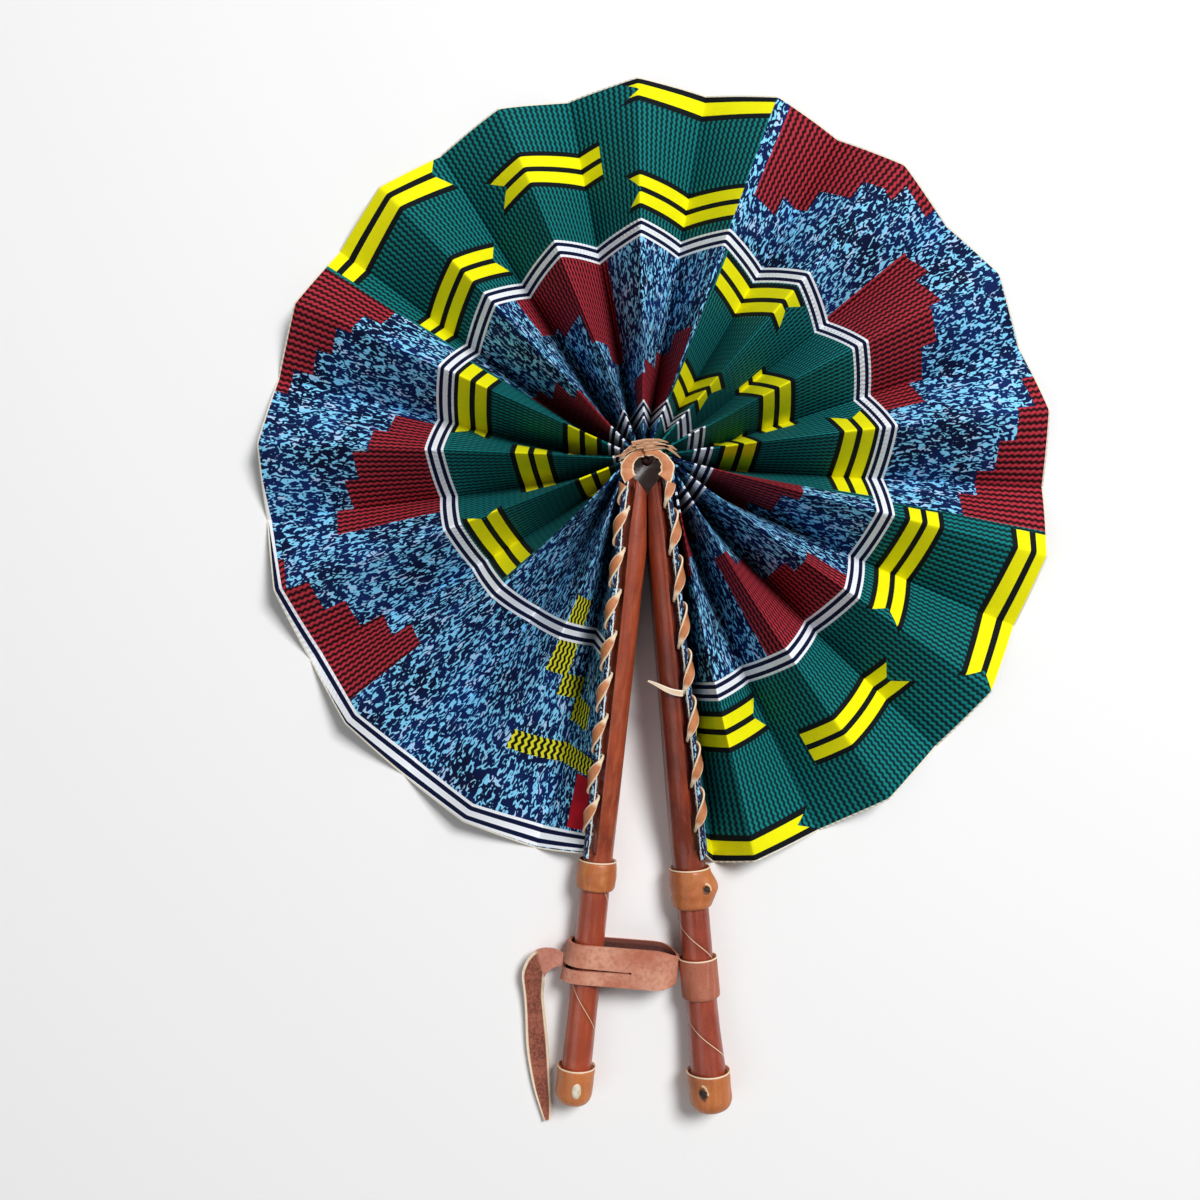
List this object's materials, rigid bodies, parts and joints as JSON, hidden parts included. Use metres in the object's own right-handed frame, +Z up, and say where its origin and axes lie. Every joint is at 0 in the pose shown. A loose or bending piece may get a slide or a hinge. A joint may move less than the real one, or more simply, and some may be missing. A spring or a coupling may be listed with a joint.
{
  "type": "folding hand fan",
  "caption": "Round folding hand fan: a pleated printed cloth disc between two leather-covered stick guards, laced along their sides, with a leather closing strap.",
  "frame": {"origin": "centre of the bounding box of the open fan on the surface it lies on", "axes": "+X to the right and +Y towards the top of the disc, seen from the front; +Z up, out of the front of the cloth"},
  "size_m": [0.3186, 0.4177, 0.0346],
  "materials": {
    "core_wood": "bare straight-grained hardwood",
    "glossy_leather": "smooth vegetable-tanned leather, burnished and glossy",
    "dark_leather": "smooth dark red-brown leather, burnished",
    "tan_leather": "soft orange-tan leather with pale thread",
    "lace_leather": "thin tan thong with pale raw edges",
    "peg_horn": "off-white end of a peg, slightly worn",
    "strap_leather": "soft matt leather, pinkish brown",
    "print_cloth": "stiffened printed cotton, satin",
    "hem_cloth": "rolled blue printed cotton with a pale raw edge"
  },
  "bodies": {
    "left_guard": {"left_stick_core": "core_wood", "left_stick_sleeve": "glossy_leather", "left_collar": "tan_leather", "left_grip": "glossy_leather", "left_end_cap": "tan_leather", "left_cap_peg": "peg_horn", "left_cloth_hem": "hem_cloth", "left_side_lace": "lace_leather", "left_end_panel": "print_cloth", "hub_lace_left": "lace_leather"},
    "hub_tie": {"hub_tie": "lace_leather"},
    "right_guard": {"right_stick_core": "core_wood", "right_stick_sleeve": "dark_leather", "right_collar": "tan_leather", "right_grip": "glossy_leather", "right_end_cap": "tan_leather", "right_cloth_hem": "hem_cloth", "right_side_lace": "lace_leather", "right_lace_end": "lace_leather", "right_end_panel": "print_cloth", "hub_lace_right": "lace_leather"},
    "strap": {"strap_sleeve": "strap_leather", "strap_loop": "strap_leather", "strap_tail": "strap_leather"},
    "fold_01": {"pleat_01": "print_cloth"},
    "fold_02": {"pleat_02": "print_cloth"},
    "fold_03": {"pleat_03": "print_cloth"},
    "fold_04": {"pleat_04": "print_cloth"},
    "fold_05": {"pleat_05": "print_cloth"},
    "fold_06": {"pleat_06": "print_cloth"},
    "fold_07": {"pleat_07": "print_cloth"},
    "fold_08": {"pleat_08": "print_cloth"},
    "fold_09": {"pleat_09": "print_cloth"},
    "fold_10": {"pleat_10": "print_cloth"},
    "fold_11": {"pleat_11": "print_cloth"},
    "fold_12": {"pleat_12": "print_cloth"},
    "fold_13": {"pleat_13": "print_cloth"},
    "fold_14": {"pleat_14": "print_cloth"},
    "fold_15": {"pleat_15": "print_cloth"},
    "fold_16": {"pleat_16": "print_cloth"}
  },
  "joints": [
    {"name": "guard_fold", "type": "hinge", "parent": "hub_tie", "child": "right_guard", "pos_m": [-0.00361, 0.05154, 0.016], "axis": [0, 0, 1], "range_deg": [0, 348.9], "deforming": ["pleat_01", "pleat_02", "pleat_03", "pleat_04", "pleat_05", "pleat_06", "pleat_07", "pleat_08", "pleat_09", "pleat_10", "pleat_11", "pleat_12", "pleat_13", "pleat_14", "pleat_15", "pleat_16", "left_end_panel", "right_end_panel", "strap_loop", "strap_tail"]},
    {"name": "hub_shift", "type": "slide", "parent": "left_guard", "child": "hub_tie", "axis": [-0.9945, 0.1045, 0], "range_m": [0, 0.0454]},
    {"name": "fold_turn_01", "type": "hinge", "parent": "left_guard", "child": "fold_01", "pos_m": [-0.00361, 0.05154, 0.016], "axis": [0, 0, 1], "range_deg": [0, 21]},
    {"name": "fold_turn_02", "type": "hinge", "parent": "left_guard", "child": "fold_02", "pos_m": [-0.00361, 0.05154, 0.016], "axis": [0, 0, 1], "range_deg": [0, 42.91]},
    {"name": "fold_turn_03", "type": "hinge", "parent": "left_guard", "child": "fold_03", "pos_m": [-0.00361, 0.05154, 0.016], "axis": [0, 0, 1], "range_deg": [0, 64.78]},
    {"name": "fold_turn_04", "type": "hinge", "parent": "left_guard", "child": "fold_04", "pos_m": [-0.00361, 0.05154, 0.016], "axis": [0, 0, 1], "range_deg": [0, 86.6]},
    {"name": "fold_turn_05", "type": "hinge", "parent": "left_guard", "child": "fold_05", "pos_m": [-0.00361, 0.05154, 0.016], "axis": [0, 0, 1], "range_deg": [0, 108.33]},
    {"name": "fold_turn_06", "type": "hinge", "parent": "left_guard", "child": "fold_06", "pos_m": [-0.00361, 0.05154, 0.016], "axis": [0, 0, 1], "range_deg": [0, 129.94]},
    {"name": "fold_turn_07", "type": "hinge", "parent": "left_guard", "child": "fold_07", "pos_m": [-0.00361, 0.05154, 0.016], "axis": [0, 0, 1], "range_deg": [0, 151.43]},
    {"name": "fold_turn_08", "type": "hinge", "parent": "left_guard", "child": "fold_08", "pos_m": [-0.00361, 0.05154, 0.016], "axis": [0, 0, 1], "range_deg": [0, 172.78]},
    {"name": "fold_turn_09", "type": "hinge", "parent": "left_guard", "child": "fold_09", "pos_m": [-0.00361, 0.05154, 0.016], "axis": [0, 0, 1], "range_deg": [0, 193.98]},
    {"name": "fold_turn_10", "type": "hinge", "parent": "left_guard", "child": "fold_10", "pos_m": [-0.00361, 0.05154, 0.016], "axis": [0, 0, 1], "range_deg": [0, 215.03]},
    {"name": "fold_turn_11", "type": "hinge", "parent": "left_guard", "child": "fold_11", "pos_m": [-0.00361, 0.05154, 0.016], "axis": [0, 0, 1], "range_deg": [0, 235.94]},
    {"name": "fold_turn_12", "type": "hinge", "parent": "left_guard", "child": "fold_12", "pos_m": [-0.00361, 0.05154, 0.016], "axis": [0, 0, 1], "range_deg": [0, 256.73]},
    {"name": "fold_turn_13", "type": "hinge", "parent": "left_guard", "child": "fold_13", "pos_m": [-0.00361, 0.05154, 0.016], "axis": [0, 0, 1], "range_deg": [0, 277.4]},
    {"name": "fold_turn_14", "type": "hinge", "parent": "left_guard", "child": "fold_14", "pos_m": [-0.00361, 0.05154, 0.016], "axis": [0, 0, 1], "range_deg": [0, 297.98]},
    {"name": "fold_turn_15", "type": "hinge", "parent": "left_guard", "child": "fold_15", "pos_m": [-0.00361, 0.05154, 0.016], "axis": [0, 0, 1], "range_deg": [0, 318.51]},
    {"name": "fold_turn_16", "type": "hinge", "parent": "left_guard", "child": "fold_16", "pos_m": [-0.00361, 0.05154, 0.016], "axis": [0, 0, 1], "range_deg": [0, 339]},
    {"name": "strap_slide", "type": "slide", "parent": "right_guard", "child": "strap", "axis": [0.0889, -0.996, 0], "range_m": [-0.008, 0.008]}
  ],
  "couplings": [
    {"joint": "hub_shift", "follows": "guard_fold", "m_per_rad": 0.0074555},
    {"joint": "fold_turn_01", "follows": "guard_fold", "ratio": 0.060189},
    {"joint": "fold_turn_02", "follows": "guard_fold", "ratio": 0.12298},
    {"joint": "fold_turn_03", "follows": "guard_fold", "ratio": 0.18568},
    {"joint": "fold_turn_04", "follows": "guard_fold", "ratio": 0.2482},
    {"joint": "fold_turn_05", "follows": "guard_fold", "ratio": 0.31048},
    {"joint": "fold_turn_06", "follows": "guard_fold", "ratio": 0.37244},
    {"joint": "fold_turn_07", "follows": "guard_fold", "ratio": 0.43403},
    {"joint": "fold_turn_08", "follows": "guard_fold", "ratio": 0.49522},
    {"joint": "fold_turn_09", "follows": "guard_fold", "ratio": 0.55598},
    {"joint": "fold_turn_10", "follows": "guard_fold", "ratio": 0.61632},
    {"joint": "fold_turn_11", "follows": "guard_fold", "ratio": 0.67625},
    {"joint": "fold_turn_12", "follows": "guard_fold", "ratio": 0.73582},
    {"joint": "fold_turn_13", "follows": "guard_fold", "ratio": 0.79507},
    {"joint": "fold_turn_14", "follows": "guard_fold", "ratio": 0.85406},
    {"joint": "fold_turn_15", "follows": "guard_fold", "ratio": 0.91289},
    {"joint": "fold_turn_16", "follows": "guard_fold", "ratio": 0.97163}
  ]
}
